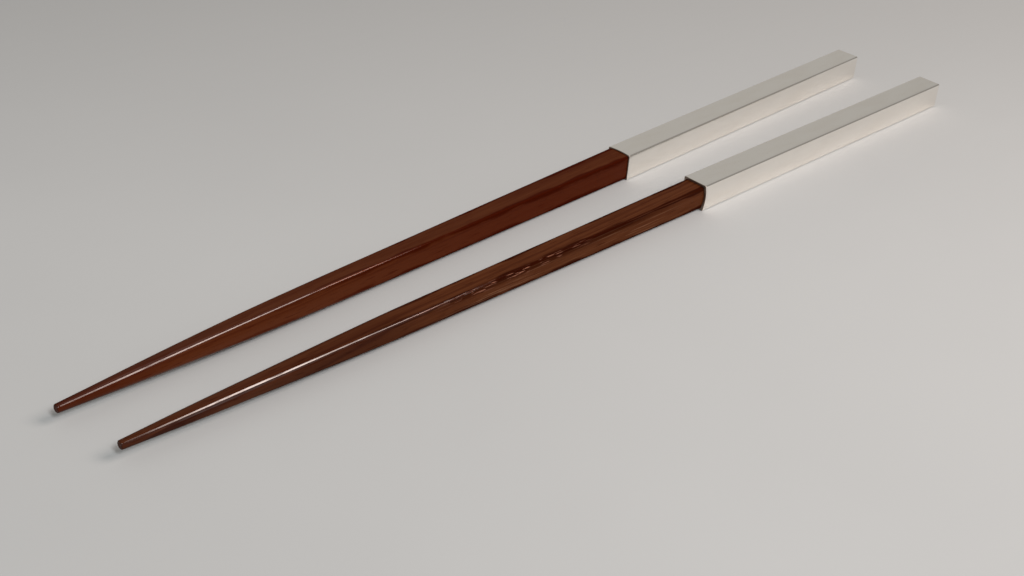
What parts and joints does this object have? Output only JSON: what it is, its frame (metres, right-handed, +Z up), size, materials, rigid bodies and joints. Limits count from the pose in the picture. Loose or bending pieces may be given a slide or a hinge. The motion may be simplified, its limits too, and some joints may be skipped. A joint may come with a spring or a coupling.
{
  "type": "pair of chopsticks",
  "caption": "Pair of table chopsticks: tapered hardwood shafts, square in the hand and round at the tip, with square polished silver sleeves over the butt ends.",
  "frame": {"origin": "middle of the pair's footprint on the surface that the sticks lie on", "axes": "+X along the pair from the tips to the silver butts, +Y from the front stick to the rear stick, +Z up"},
  "size_m": [0.2326, 0.0286, 0.006],
  "materials": {
    "wood": "reddish-brown rosewood under a gloss lacquer, grain along the stick",
    "silver": "polished sterling silver"
  },
  "bodies": {
    "root": {"front_shaft": "wood", "front_sleeve": "silver", "rear_shaft": "wood", "rear_sleeve": "silver"}
  },
  "joints": []
}
